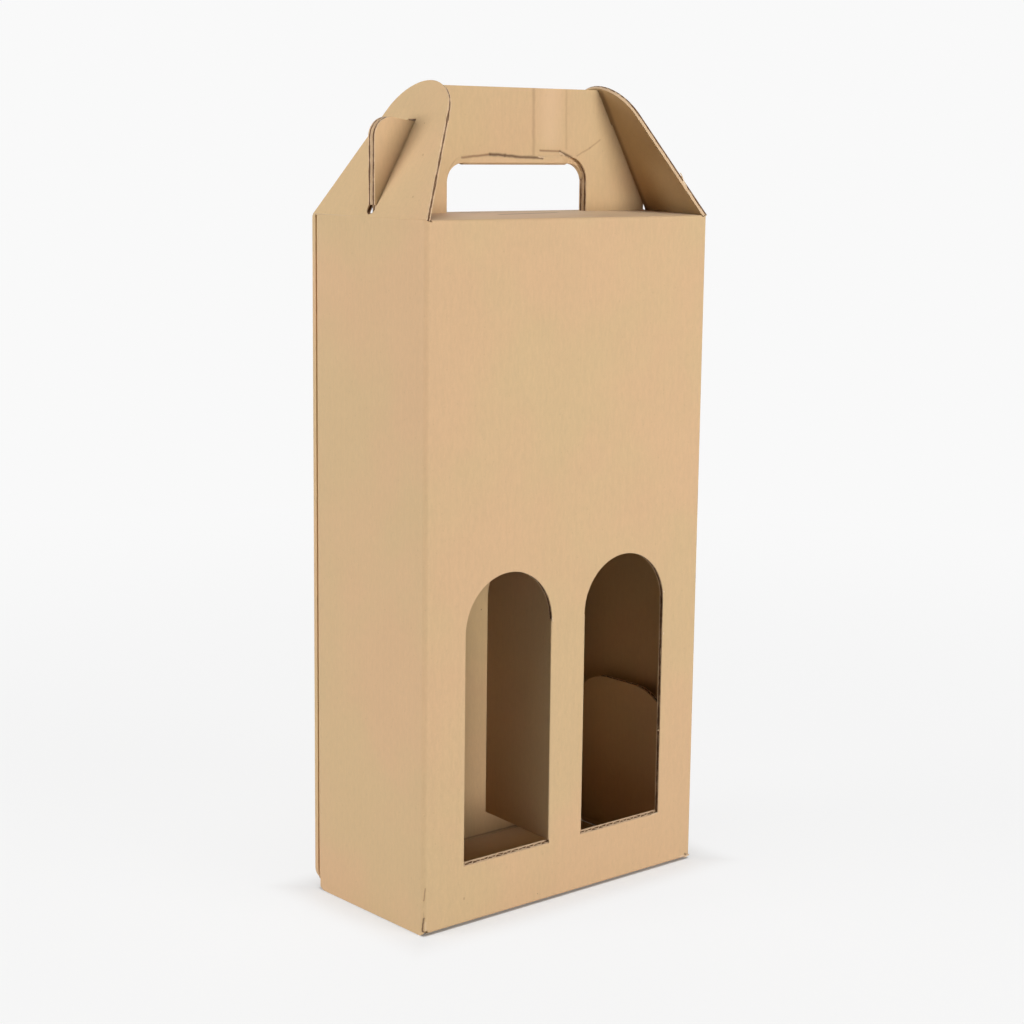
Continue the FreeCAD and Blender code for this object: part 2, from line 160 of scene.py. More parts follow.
def kraftGroup():
    group, given, wanted = newGroup(
        "KraftPaper",
        [
            ("Position", "NodeSocketVector", (0, 0, 0)),
            ("Flute", "NodeSocketFloat", 0.0),
            ("Colour", "NodeSocketColor", (0.6, 0.4, 0.2, 1)),
            ("Cloud", "NodeSocketFloat", 0.06),
            ("WashboardShade", "NodeSocketFloat", 0.004),
        ],
        [("Colour", "NodeSocketColor"), ("Height", "NodeSocketFloat"), ("Roughness", "NodeSocketFloat")],
    )
    place = given["Position"]
    cloud = noiseAt(group, place, pulp["cloudScale"], 4.0, 0.6)["Fac"]
    stretched = vector2(group, "MULTIPLY", place, pulp["fibreStretch"])["Vector"]
    fibre = noiseAt(group, stretched, 1.0, 3.0)["Fac"]
    fine = noiseAt(group, place, pulp["fineScale"])["Fac"]
    patch = noiseAt(group, place, pulp["patchScale"], 3.0, 0.55)["Fac"]
    dark = ramp(group, cellsAt(group, place, pulp["darkScale"])["Distance"], 0.04, 0.13, 1.0, 0.0)
    light = ramp(group, cellsAt(group, place, pulp["lightScale"])["Distance"], 0.04, 0.14, 1.0, 0.0)
    specks = cellsAt(group, place, pulp["speckScale"])
    pick = addNode(group, "ShaderNodeSeparateColor", None, {0: specks["Color"]}).outputs[0]
    size = ramp(group, pick, 0.72, 1.0, 0.0, pulp["speckSize"])
    speck = math2(group, "LESS_THAN", specks["Distance"], size)
    pitch = 2 * math.pi / sizes["flutePitch"]
    wave = math2(group, "SINE", math2(group, "MULTIPLY", given["Flute"], pitch))
    level = total(group, [
        spread(group, cloud, given["Cloud"]),
        spread(group, fibre, pulp["fibre"]),
        spread(group, fine, pulp["fine"]),
        # Painted shade of the washboard ripples over the flutes.
        math2(group, "MULTIPLY", wave, given["WashboardShade"]),
        math2(group, "MULTIPLY", dark, pulp["dark"]),
        math2(group, "MULTIPLY", light, pulp["light"]),
        math2(group, "MULTIPLY", speck, pulp["speck"]),
        1.0,
    ])
    hue = mixColour(group, ramp(group, patch, 0.38, 0.62), pulp["coolPatch"], pulp["warmPatch"])
    hued = mixColour(group, 1.0, given["Colour"], hue, "MULTIPLY")
    group.links.new(vector2(group, "SCALE", hued, scale=level)["Vector"], wanted["Colour"])
    height = total(group, [
        math2(group, "MULTIPLY", fibre, 0.6),
        math2(group, "MULTIPLY", wave, 0.12),
        math2(group, "MULTIPLY", fine, 0.3),
    ])
    group.links.new(height, wanted["Height"])
    group.links.new(ramp(group, fibre, 0.3, 0.7, 0.66, 0.8), wanted["Roughness"])
    return group


# A soft mark along a straight run between two points: a crease, a scuff, a speck, a painted highlight or a
# painted shade line.
def markGroup():
    group, given, wanted = newGroup(
        "Mark",
        [
            ("Position", "NodeSocketVector", (0, 0, 0)),
            ("Start", "NodeSocketVector", (0, 0, 0)),
            ("Run", "NodeSocketVector", (0, 0, 1)),
            ("Width", "NodeSocketFloat", 0.001),
            ("Shake", "NodeSocketVector", (0, 0, 0)),
            ("Waver", "NodeSocketFloat", 0.0),
        ],
        [("Mask", "NodeSocketFloat")],
    )
    shaken = vector2(group, "SCALE", given["Shake"], scale=given["Waver"])["Vector"]
    place = vector2(group, "ADD", given["Position"], shaken)["Vector"]
    away = vector2(group, "SUBTRACT", place, given["Start"])["Vector"]
    along = vector2(group, "DOT_PRODUCT", away, given["Run"])["Value"]
    square = vector2(group, "DOT_PRODUCT", given["Run"], given["Run"])["Value"]
    part = math2(group, "DIVIDE", along, square, clamp=True)
    nearest = vector2(group, "SCALE", given["Run"], scale=part)["Vector"]
    gap = vector2(group, "DISTANCE", away, nearest)["Value"]
    group.links.new(ramp(group, gap, 0.0, given["Width"], 1.0, 0.0), wanted["Mask"])
    return group


# The cut edge of the board: two liners with the fluted sheet between them, and painted shade in the
# hollows between the flutes.
# Heights, shakes and widths are shares of the board's thickness.
cutLook = {
    "roughScale": 700.0,
    "wearScale": 160.0,
    "phaseShake": 1.6,
    "waveHeight": 0.24,
    "sheetShake": 0.16,
    "sheetStart": 0.07,
    "sheetEnd": 0.16,
    "sheetPaper": 0.9,
    "linerShake": 0.14,
    "linerWear": 0.5,
    "linerStart": 0.17,
    "linerEnd": 0.26,
}


def cutEdgeGroup():
    group, given, wanted = newGroup(
        "CutEdge",
        [
            ("Position", "NodeSocketVector", (0, 0, 0)),
            ("Flute", "NodeSocketFloat", 0.0),
            ("Depth", "NodeSocketFloat", 0.0),
            ("AlongFlutes", "NodeSocketFloat", 0.0),
            ("Middle", "NodeSocketFloat", 0.5),
        ],
        [("Paper", "NodeSocketFloat"), ("Liner", "NodeSocketFloat")],
    )
    rough = noiseAt(group, given["Position"], cutLook["roughScale"])["Fac"]
    shake = math2(group, "SUBTRACT", rough, 0.5)
    wear = noiseAt(group, given["Position"], cutLook["wearScale"])["Fac"]
    phase = math2(group, "MULTIPLY", given["Flute"], 2 * math.pi / sizes["flutePitch"])
    phase = math2(group, "ADD", phase, math2(group, "MULTIPLY", shake, cutLook["phaseShake"]))
    swing = math2(group, "MULTIPLY", math2(group, "SINE", phase), cutLook["waveHeight"])
    sheet = math2(group, "ADD", swing, given["Middle"])
    away = math2(group, "ABSOLUTE", math2(group, "SUBTRACT", given["Depth"], sheet))
    away = math2(group, "ADD", away, math2(group, "MULTIPLY", shake, cutLook["sheetShake"]))
    fluted = ramp(group, away, cutLook["sheetStart"], cutLook["sheetEnd"], cutLook["sheetPaper"], 0.0)
    fluted = math2(group, "MULTIPLY", fluted, math2(group, "SUBTRACT", 1.0, given["AlongFlutes"]))
    side = total(group, [
        math2(group, "ABSOLUTE", math2(group, "SUBTRACT", given["Depth"], given["Middle"])),
        math2(group, "MULTIPLY", shake, cutLook["linerShake"]),
        spread(group, wear, cutLook["linerWear"]),
    ])
    liner = ramp(group, side, cutLook["linerStart"], cutLook["linerEnd"])
    # Paper is 1 on the liners and the fluted sheet, and 0 in the hollows, which take painted shade.
    group.links.new(math2(group, "MAXIMUM", fluted, liner), wanted["Paper"])
    group.links.new(liner, wanted["Liner"])
    return group


kraftPaper = kraftGroup()
markShape = markGroup()
cutEdge = cutEdgeGroup()

# The carton's colours, and how its paper and torn fibre take light.
kraft = {
    "liner": (0.60, 0.412, 0.228, 1),
    "inner": (0.49, 0.328, 0.168, 1),
    # A lighter tint, used as a painted highlight where bent paper catches the light.
    "fold": (0.72, 0.50, 0.30, 1),
    # Dark of creases and specks; along creases it is partly the paper's own broken liner and partly
    # painted shade.
    "crease": (0.30, 0.17, 0.085, 1),
    # Dark of real cracks, and of painted shade lines at joints, under edges and beside the handle.
    "crackAndShade": (0.13, 0.07, 0.035, 1),
    "torn": (0.74, 0.57, 0.39, 1),
    "edgePaper": (0.58, 0.39, 0.22, 1),
    "edgeLiner": (0.60, 0.40, 0.23, 1),
    # Painted shade for the hollows between the flutes in a cut edge.
    "fluteHollowShade": (0.110, 0.048, 0.016, 1),
    "bump": 0.35,
    "shine": 0.22,
    "sheen": 0.12,
    "paperRelief": 0.00012,
    "edgeRelief": 0.0006,
    "tornRelief": 0.0003,
    "edgeRoughness": 0.85,
    "tornRoughness": 0.9,
    "wanderScale": 220.0,
    "edgeGrain": 1500.0,
    "tornGrain": 1800.0,
    "markDepth": 3,
}


def surface(tree, colour, roughness, height, relief):
    heights = {"Height": height, "Strength": kraft["bump"], "Distance": relief}
    bump = addNode(tree, "ShaderNodeBump", None, heights)
    values = {"Base Color": colour, "Roughness": roughness, "Normal": bump.outputs[0]}
    values.update({"Specular IOR Level": kraft["shine"], "Sheen Weight": kraft["sheen"]})
    shader = addNode(tree, "ShaderNodeBsdfPrincipled", None, values)
    output = tree.nodes.new("ShaderNodeOutputMaterial")
    tree.links.new(shader.outputs[0], output.inputs["Surface"])


def emptyMaterial(name):
    material = bpy.data.materials.new(name)
    material.use_nodes = True
    material.node_tree.nodes.clear()
    return material, material.node_tree


# Place on the piece, and the board's own attribute: way across the flutes,
# depth through the board, and 1 on edges that run along the flutes.
def boardPlaces(tree):
    place = addNode(tree, "ShaderNodeTexCoord").outputs["Object"]
    flute = addNode(tree, "ShaderNodeAttribute", {"attribute_name": "flute"})
    parts = addNode(tree, "ShaderNodeSeparateXYZ", None, {0: flute.outputs["Vector"]})
    return place, *parts.outputs


# A mark is (start, end, width, colour name, strength, waver), places in metres.
def linerMaterial(name, marks=()):
    material, tree = emptyMaterial(name)
    place, flute, depth, _ = boardPlaces(tree)
    liner = mixColour(tree, ramp(tree, depth, 0.45, 0.55), kraft["liner"], kraft["inner"])
    paper = addGroup(tree, kraftPaper, {"Position": place, "Flute": flute, "Colour": liner}).outputs
    colour, height = paper["Colour"], paper["Height"]
    wander = noiseAt(tree, place, kraft["wanderScale"])["Color"]
    shake = vector2(tree, "SUBTRACT", wander, (0.5, 0.5, 0.5))["Vector"]
    for start, end, width, tint, strength, waver in marks:
        run = Vector(end) - Vector(start) + Vector((1e-6, 0, 0))  # never of no length
        values = {"Position": place, "Start": start, "Run": run, "Width": width}
        values.update({"Shake": shake, "Waver": waver})
        mask = addGroup(tree, markShape, values).outputs["Mask"]
        colour = mixColour(tree, math2(tree, "MULTIPLY", mask, strength), colour, kraft[tint])
        sunk = math2(tree, "MULTIPLY", mask, strength * kraft["markDepth"])
        height = math2(tree, "SUBTRACT", height, sunk)
    surface(tree, colour, paper["Roughness"], height, kraft["paperRelief"])
    return material


def edgeMaterial(name, middle):
    material, tree = emptyMaterial(name)
    place, flute, depth, alongFlutes = boardPlaces(tree)
    values = {"Position": place, "Flute": flute, "Depth": depth, "AlongFlutes": alongFlutes}
    edge = addGroup(tree, cutEdge, {**values, "Middle": middle}).outputs
    grain = noiseAt(tree, place, kraft["edgeGrain"], 3.0)["Fac"]
    paper = mixColour(tree, edge["Liner"], kraft["edgePaper"], kraft["edgeLiner"])
    paper = mixColour(tree, ramp(tree, grain, 0.3, 0.7, 0.0, 0.5), paper, kraft["torn"])
    # Painted shade in the flute hollows, paper colour elsewhere.
    colour = mixColour(tree, edge["Paper"], kraft["fluteHollowShade"], paper)
    height = math2(tree, "ADD", edge["Paper"], math2(tree, "MULTIPLY", grain, 0.4))
    surface(tree, colour, kraft["edgeRoughness"], height, kraft["edgeRelief"])
    return material


def tornMaterial():
    material, tree = emptyMaterial("TornPaper")
    place = addNode(tree, "ShaderNodeTexCoord").outputs["Object"]
    grain = noiseAt(tree, place, kraft["tornGrain"], 3.0)["Fac"]
    colour = mixColour(tree, ramp(tree, grain, 0.3, 0.7), kraft["edgePaper"], kraft["torn"])
    surface(tree, colour, kraft["tornRoughness"], grain, kraft["tornRelief"])
    return material


# The flutes, with the painted shade of their hollows, lie midway in a clean edge and near the outer liner
# in a crushed one.
plainEdge = edgeMaterial("CutBoardEdge", 0.5)
crushedEdge = edgeMaterial("CrushedBoardEdge", 0.17)
foldPaper = linerMaterial("FoldPaper")
tornPaper = tornMaterial()
print("kraft papers made")


# A panel is a slab of board: where its outer face lies, which way its thickness
# goes, and which way its flutes run.
def slab(origin, inward, flute, inside=None):
    inward, flute = Vector(inward).normalized(), Vector(flute).normalized()
    return {"origin": Vector(origin), "inward": inward, "across": inward.cross(flute), "inside": inside}


def depthIn(panel, point):
    return (point - panel["origin"]).dot(panel["inward"]) / board


def panelOf(panels, face):
    spare = 0.06  # shares of the thickness
    for panel in panels:
        depths = [depthIn(panel, vert.co) for vert in face.verts]
        if min(depths) > -spare and max(depths) < 1 + spare:
            if panel["inside"] is None or panel["inside"](face.calc_center_median()):
                return panel
    return None


def cartonPanels():
    above, low = wallTop + 0.002, cartonLow.z + 0.012
    plane, flap = sizes["handlePlane"], sizes["handFlapPlane"]
    up, forward, backward = (0, 0, 1), (0, -1, 0), (0, 1, 0)
    return [
        slab((0, -plane, 0), backward, up, lambda p: p.z > above),
        slab((0, plane, 0), forward, up, lambda p: p.z > above),
        slab((0, flap, 0), forward, up, lambda p: p.z > above),
        slab((0, cartonLow.y, 0), backward, up),
        slab((0, cartonHigh.y, 0), forward, up),
        slab((cartonLow.x, 0, 0), (1, 0, 0), up),
        slab((cartonHigh.x, 0, 0), (-1, 0, 0), up),
        slab((0, cartonHigh.y - board, 0), forward, up, lambda p: p.z > low),
    ]


def gablePanel(sign):
    lean = sizes["gableLean"]
    inward = (-sign * math.cos(lean), 0, -math.sin(lean))
    along = (-sign * math.sin(lean), 0, math.cos(lean))
    return slab((sign * cartonHigh.x, 0, wallTop), inward, along)


def windowPanel(sign):
    fold = sizes["windowFold"]
    inward = (-sign * math.sin(fold), math.cos(fold), 0)
    return slab((sign * postEdge, cartonLow.y, 0), inward, (0, 0, 1))


def tonguePanel():
    lean = sizes["tongueLean"]
    inward = (-math.cos(lean), 0, -math.sin(lean))
    return slab(pivots["tongue_hinge"], inward, (-math.sin(lean), 0, math.cos(lean)))


# Where the carton's outer liner bends instead of ending in a cut.
folds = {
    "corner": 0.0026,
    "foot": 0.003,
    "rollLow": 0.0236,
    "rollHigh": 0.0305,
    "rollHalf": 0.034,
}
# What is above handleRise and faces the front takes the handle's own marks.
dressing = {
    "mergeGap": 2e-6,
    "flatAngle": math.radians(0.6),
    "sharpAngle": math.radians(24),
    "cutFacing": 0.58,
    "handleRise": 0.001,
    "handleFacing": -0.1,
}
sill = {"height": 0.031, "reach": 0.0004, "crush": 0.0013}


def isFold(node, point, normal):
    if node != "carton":
        return False
    atSide = abs(point.x) > cartonHigh.x - folds["corner"]
    atFront = abs(point.y) > cartonHigh.y - folds["corner"]
    atEnd = point.z > wallTop - folds["corner"] or point.z < folds["foot"]
    roll = wallTop + folds["rollLow"] < point.z < wallTop + folds["rollHigh"]
    roll = roll and abs(normal.x) < 0.5 and abs(point.x) < folds["rollHalf"]
    return (atSide and atFront and abs(normal.z) < 0.5) or (atFront and atEnd) or roll


# The front edge of each window sill is pressed down, as a worn die leaves it.
def pressSills(made):
    for vert in made.verts:
        onSill = abs(vert.co.z - sill["height"]) < sill["reach"]
        if onSill and abs(vert.co.y - cartonLow.y) < 0.0001:
            vert.co.z -= sill["crush"]


# A copy of the frame's solid with soft edges, its cut edges told from its faces.
def dressNode(node, panels, marks=(), edgeSurface=plainEdge, handMarks=()):
    mesh = bpy.data.meshes.new(node + "_board")
    made = bmesh.new()
    made.from_mesh(frame["nodes"][node].data)
    bmesh.ops.remove_doubles(made, verts=made.verts, dist=dressing["mergeGap"])
    bmesh.ops.dissolve_limit(
        made, angle_limit=dressing["flatAngle"], verts=made.verts, edges=made.edges,
    )
    if node == "carton":
        pressSills(made)
    made.normal_update()
    solid = [edge for edge in made.edges if edge.is_manifold]
    sharp = [edge for edge in solid if edge.calc_face_angle(0) > dressing["sharpAngle"]]
    bmesh.ops.bevel(
        made, geom=sharp, offset=sizes["edgeSoftness"], offset_type="OFFSET", segments=2, profile=0.5,
        affect="EDGES", clamp_overlap=True, material=-1,
    )
    layer = made.loops.layers.float_vector.new("flute")
    made.normal_update()
    for face in made.faces:
        face.smooth = True
        middle = face.calc_center_median()
        onHandle = middle.z > wallTop + dressing["handleRise"] and face.normal.y < dressing["handleFacing"]
        if handMarks and onHandle:
            face.material_index = 2
        panel = panelOf(panels, face)
        if panel is None:
            continue
        folded = isFold(node, middle, face.normal)
        if abs(face.normal.dot(panel["inward"])) < dressing["cutFacing"] and not folded:
            face.material_index = 1
        alongFlutes = abs(face.normal.dot(panel["across"])) ** 4
        for loop in face.loops:
            flute = (loop.vert.co - panel["origin"]).dot(panel["across"])
            depth = 0.0 if folded else depthIn(panel, loop.vert.co)
            loop[layer] = Vector((flute, depth, alongFlutes))
    made.to_mesh(mesh)
    made.free()
    mesh.materials.append(linerMaterial(node + "_liner", marks))
    mesh.materials.append(edgeSurface)
    if handMarks:
        mesh.materials.append(linerMaterial(node + "_handle", handMarks))
    piece = bpy.data.objects.new(node + "_dressed", mesh)
    bpy.context.scene.collection.objects.link(piece)
    piece.modifiers.new("Normals", "WEIGHTED_NORMAL").keep_sharp = True
    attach(piece, node)
    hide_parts(node)


def metres(*point):
    return tuple(value / 1000 for value in point)


def makeMarks(rows):
    marks = []
    for start, end, width, tint, strength, waver in rows:
        marks.append((metres(*start), metres(*end), width / 1000, tint, strength, waver / 1000))
    return marks


def chain(points, y, *look):
    ends = zip(points, points[1:])
    return [((a[0], y, a[1]), (b[0], y, b[1]), *look) for a, b in ends]


handleY = -1000 * sizes["handlePlane"]  # in millimetres, as the marks are
frontY = 1000 * cartonLow.y

# Creases, cracks and specks, with painted highlights and painted shade lines among them, in millimetres:
# start, end, width, colour, strength, waver.
handleMarks = [
    # Painted highlight on the bent paper between the two creases.
    ((20, handleY, 396), (20, handleY, 376), 11.5, "fold", 0.45, 1.0),
    ((8.9, handleY, 399), (9.4, handleY, 367), 1.7, "crease", 0.34, 0.8),
    ((30.4, handleY, 399), (31.0, handleY, 370), 1.3, "crease", 0.26, 0.6),
    *chain([(38.3, 366.5), (47, 370.5), (53.7, 374.5)], handleY, 0.8, "crease", 0.45, 0.9),
]
holeTopMarks = [
    ((-35.9, handleY, 365.4), (-18.5, handleY, 366.9), 1.0, "crease", 0.95, 0.6),
    ((-18.5, handleY, 366.9), (-9, handleY, 366.7), 1.3, "crackAndShade", 0.95, 1.0),
    ((-9, handleY, 366.4), (15, handleY, 365.3), 1.2, "crackAndShade", 0.9, 0.9),
    ((13.6, handleY, 369), (26.8, handleY, 368.7), 0.9, "crease", 0.9, 0.5),
    ((26.8, handleY, 368.4), (34.6, handleY, 365.6), 1.3, "crackAndShade", 0.9, 0.5),
    # Painted highlight along the rounded bend at the top of the hand hole.
    ((-30, handleY, 363.6), (28, handleY, 363.6), 1.8, "fold", 0.35, 0.8),
]
wallMarks = [
    ((-65, frontY, 13.9), (-65, frontY, 13.4), 0.7, "crease", 0.6, 0.3),
    ((-88.7, -43.9, 24), (-89.3, -43.3, 18), 0.6, "crease", 0.75, 1.4),
    ((-89.3, -43.3, 18), (-89.3, -43.3, 10), 0.4, "crease", 0.35, 1.4),
    ((-89.3, -43.3, 9.4), (-89.5, -43.1, 2.6), 0.8, "crackAndShade", 1.0, 1.8),
    ((-89.2, -43.4, 2.6), (-87.0, -43.9, 1.5), 0.8, "crackAndShade", 0.9, 0.8),
    ((-88.4, -43.8, 7.5), (-88.2, -43.9, 3.0), 0.6, "torn", 0.5, 1.6),
    # Painted shade: a dark line along the foot of the front wall, where it meets the floor.
    ((-87.5, -43.9, 0.5), (88, -43.9, 0.5), 0.9, "crackAndShade", 0.8, 0.3),
    ((83, frontY, 2.2), (89, -43.4, 1.8), 0.9, "torn", 0.7, 0.8),
    # Painted shade: a dark line on the inside of the back wall, along its joint with the bottom flap.
    ((-60, 41.4, 5.6), (60, 41.4, 5.6), 0.9, "crackAndShade", 0.6, 0.5),
    ((-23.9, -16.9, 338.8), (17.7, -10.6, 339.0), 2.2, "crackAndShade", 0.8, 0.2),
    ((86.2, -43.9, 3.0), (89.2, -43.6, 1.6), 0.9, "crackAndShade", 0.9, 0.8),
]
leftMarks = [
    ((-84.3, -26.9, 347.8), (-84.2, -26.8, 347.9), 0.7, "crease", 0.6, 0.2),
    ((-73.5, -20.4, 366.6), (-73.4, -20.3, 366.8), 0.7, "crease", 0.6, 0.2),
    ((-67.4, -3.0, 377.6), (-74, -3.6, 366), 3.0, "crease", 0.25, 1.0),
]
rightMarks = [
    # Painted shadow: a dark band on the right gable's inner face along the end of the handle.
    ((52.4, -4.2, 398.1), (86.4, -3.8, 339.3), 2.6, "crackAndShade", 0.55, 0.6),
    ((75.2, -39.4, 358.2), (78.6, -38.9, 352.0), 1.6, "torn", 0.9, 0.8),
    ((74.9, -37.6, 358.0), (77.8, -37.3, 352.6), 0.8, "crackAndShade", 0.8, 0.8),
]

dressNode("carton", cartonPanels(), makeMarks(wallMarks), plainEdge, makeMarks(handleMarks + holeTopMarks))
for side, sign in sides:
    edge = plainEdge if side == "left" else crushedEdge
    marks = makeMarks(leftMarks if side == "left" else rightMarks)
    dressNode("gable_flap_" + side, [gablePanel(sign)], marks, edge)
    dressNode("window_flap_" + side, [windowPanel(sign)])
dressNode("bottom_flap", [slab((0, 0, 0), (0, 0, 1), (1, 0, 0))])
dressNode("tuck_tongue", [tonguePanel()])
print("boards dressed")


def addPiece(name, made, material, body):
    mesh = bpy.data.meshes.new(name)
    bmesh.ops.remove_doubles(made, verts=made.verts, dist=1e-6)
    bmesh.ops.recalc_face_normals(made, faces=made.faces)
    for face in made.faces:
        face.smooth = True
    made.to_mesh(mesh)
    made.free()
    mesh.materials.append(material)
    piece = bpy.data.objects.new(name, mesh)
    bpy.context.scene.collection.objects.link(piece)
    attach(piece, body)


# The liner's rounded bend along a fold, which closes the line between two boards.
beads = {
    "radius": 0.00042,
    "inset": 0.00038,
    "gableEnd": 0.0006,
    "windowLow": 0.0316,
    "windowHigh": 0.1434,
}


def foldBead(name, start, end, body):
    made = bmesh.new()
    start, end = Vector(start), Vector(end)
    run = end - start
    turn = Matrix.Translation((start + end) / 2) @ run.to_track_quat("Z", "Y").to_matrix().to_4x4()
    bmesh.ops.create_cone(
        made, cap_ends=True, segments=10, radius1=beads["radius"], radius2=beads["radius"],
        depth=run.length, matrix=turn,
    )
    addPiece(name, made, foldPaper, body)


for side, sign in sides:
    x, reach = sign * (cartonHigh.x - beads["inset"]), cartonHigh.y - beads["gableEnd"]
    foldBead("gable_fold_" + side, (x, -reach, wallTop), (x, reach, wallTop), "gable_flap_" + side)
    x, y = sign * postEdge, cartonLow.y + beads["inset"]
    low, high = (x, y, beads["windowLow"]), (x, y, beads["windowHigh"])
    foldBead("window_fold_" + side, low, high, "window_flap_" + side)


# The liner bends round the top of the hand hole and gives it rounded corners.
holeLip = {
    "half": 0.0453,
    "bottom": 0.3627,
    "corner": 0.010,
    "cutHalf": 0.033,
    "cutTop": 0.366,
    "cutRound": 0.012,
    "overlap": 0.0006,
    "frontEnd": 0.037,
    "taper": 0.010,
    "steps": 96,
    "proud": 0.00004,
    "seam": 0.00001,
    "endGap": 0.0001,
}


def lipBottom(x):
    flat = holeLip["half"] - holeLip["corner"]
    over = max(0.0, abs(x) - flat)
    return holeLip["bottom"] - holeLip["corner"] + math.sqrt(max(0.0, holeLip["corner"] ** 2 - over ** 2))


def lipTop(x):
    over = max(0.0, abs(x) - holeLip["cutHalf"])
    arch = math.sqrt(max(0.0, holeLip["cutRound"] ** 2 - over ** 2))
    return holeLip["cutTop"] - holeLip["cutRound"] + arch + holeLip["overlap"]


# One leg of the bend, with its rounded front at near and its flat rear at far. A taper thins it out.
def makeLip(name, near, far, start, end, taper=0.0):
    made = bmesh.new()
    rings = []
    for step in range(holeLip["steps"] + 1):
        x = start + (end - start) * step / holeLip["steps"]
        low, high = lipBottom(x), lipTop(x)
        soft = (high - low) * 0.12
        fade = min(max((end - x) / taper, 0.0), 1.0) if taper else 1.0
        face = far + (near - far) * (fade * fade * (3 - 2 * fade) * 0.94 + 0.06)
        deep = far - face
        section = [
            (far, high),
            (face, high),
            (face - 0.02 * deep, (low + high) / 2),
            (face + 0.02 * deep, low + 1.2 * soft),
            (face + 0.12 * deep, low + 0.25 * soft),
            (face + 0.35 * deep, low),
            (far, low),
        ]
        rings.append([made.verts.new((x, y, z)) for y, z in section])
    for first, second in zip(rings, rings[1:]):
        for i in range(len(first)):
            j = (i + 1) % len(first)
            made.faces.new((first[i], first[j], second[j], second[i]))
    made.faces.new(rings[0])
    made.faces.new(rings[-1][::-1])
    addPiece(name, made, lipPaper, "carton")


lipPaper = linerMaterial("LipPaper", makeMarks(holeTopMarks))
lipFace = sizes["handlePlane"] + holeLip["proud"]
lipEnd = holeLip["half"] - holeLip["endGap"]
makeLip("hole_lip_front", -lipFace, -holeLip["seam"], -lipEnd, holeLip["frontEnd"], holeLip["taper"])
makeLip("hole_lip_rear", holeLip["seam"], lipFace, -lipEnd, lipEnd)


# Scraps of torn liner stand up along the damaged edges. Millimetres.
scraps = [
    {"place": (12.2, -2.8, 366.0), "run": (3.6, -0.5, -0.4), "wide": 0.9, "body": "carton"},
    {"place": (26.0, -2.8, 368.2), "run": (3.2, -0.5, -1.7), "wide": 1.0, "body": "carton"},
    {"place": (74.6, -39.4, 358.9), "run": (2.2, -0.2, -4.0), "wide": 0.7, "body": "gable_flap_right"},
    {"place": (76.6, -39.6, 355.0), "run": (1.9, -0.2, -3.2), "wide": 1.2, "body": "gable_flap_right"},
    {"place": (85.6, -43.9, 1.5), "run": (3.6, 0.1, 0.3), "wide": 1.4, "body": "carton"},
    {"place": (87.6, -44.0, 2.4), "run": (2.2, 0.3, -0.6), "wide": 0.8, "body": "carton"},
    {"place": (65.6, -44.1, 148.3), "run": (0.0, -0.1, -1.1), "wide": 0.8, "body": "carton"},
    {"place": (66.1, -44.1, 126.4), "run": (-0.1, -0.1, -1.5), "wide": 0.8, "body": "carton"},
    {"place": (65.4, -43.2, 118.0), "run": (0.3, -0.5, -12.0), "wide": 0.7, "body": "carton"},
    {"place": (65.8, -43.2, 104.0), "run": (0.3, -0.5, -9.0), "wide": 0.6, "body": "carton"},
    {"place": (66.0, -43.4, 74.3), "run": (-2.2, -0.2, 0.4), "wide": 0.6, "body": "carton"},
    {"place": (60.0, -44.1, 29.9), "run": (5.4, 0.0, 0.3), "wide": 0.8, "body": "carton"},
    {"place": (-10.6, -44.0, 144.8), "run": (0.3, -0.2, -2.0), "wide": 0.8, "body": "carton"},
    {"place": (-67.6, -2.2, 377.6), "run": (0.8, -0.6, 0.6), "wide": 0.6, "body": "gable_flap_left"},
]


# A ragged strip that curls forward, its widths and curl as shares of the scrap's own width.
scrapShape = {
    "steps": 5,
    "slimmest": 0.25,
    "bulge": 0.75,
    "ragged": 0.25,
    "curl": 0.25,
    "thickness": 0.00012,
}


def tornScrap(number, place, run, wide, body):
    made = bmesh.new()
    start, along = Vector(place) / 1000, Vector(run) / 1000
    side = along.cross(Vector((0, 1, 0.3))).normalized() * wide / 1000
    rows = []
    for step in range(scrapShape["steps"] + 1):
        part = step / scrapShape["steps"]
        bulge = scrapShape["bulge"] * math.sin(math.pi * (0.15 + 0.8 * part))
        ragged = scrapShape["ragged"] * noise.noise(start * 900 + along * step * 400)
        width = scrapShape["slimmest"] + bulge + ragged
        curl = Vector((0, -scrapShape["curl"] * wide / 1000 * part * part, 0))
        middle = start + along * part + curl
        rows.append([made.verts.new(middle + side * width / 2 * way) for way in (-1, 1)])
    for first, second in zip(rows, rows[1:]):
        made.faces.new((first[0], first[1], second[1], second[0]))
    bmesh.ops.solidify(made, geom=made.faces[:], thickness=scrapShape["thickness"])
    addPiece(f"torn_scrap_{number}", made, tornPaper, body)


for number, scrap in enumerate(scraps, start=1):
    tornScrap(number, **scrap)
print("folds, hole's lip and torn scraps made")


# A white studio: a floor that fades into the backdrop, and soft light.
studio = {
    "floorHeight": 0.0,
    "floorReach": 6.0,
    "floorColour": (0.90, 0.90, 0.90, 1),
    "floorBounce": (0.69, 0.69, 0.69, 1),
    "backdrop": (0.948, 0.948, 0.948, 1),
    "fadeStart": 0.20,
    "fadeEnd": 1.1,
    "haze": 0.87,
    "contactShade": 0.36,
    "contactReach": 0.025,
    "sky": (0.03, 0.03, 0.03, 1),
    "aim": (0, 0, 0.18),
}
lamps = [
    {"name": "side", "place": (-2.5, 0.9, 0.45), "size": 1.6, "power": 65},
    {"name": "front", "place": (0.45, -1.9, 0.32), "size": 1.2, "power": 38.5},
    {"name": "top", "place": (-0.3, -0.3, 3.0), "size": 1.6, "power": 38},
    {"name": "rear", "place": (1.7, 2.2, 0.9), "size": 2.4, "power": 26},
]
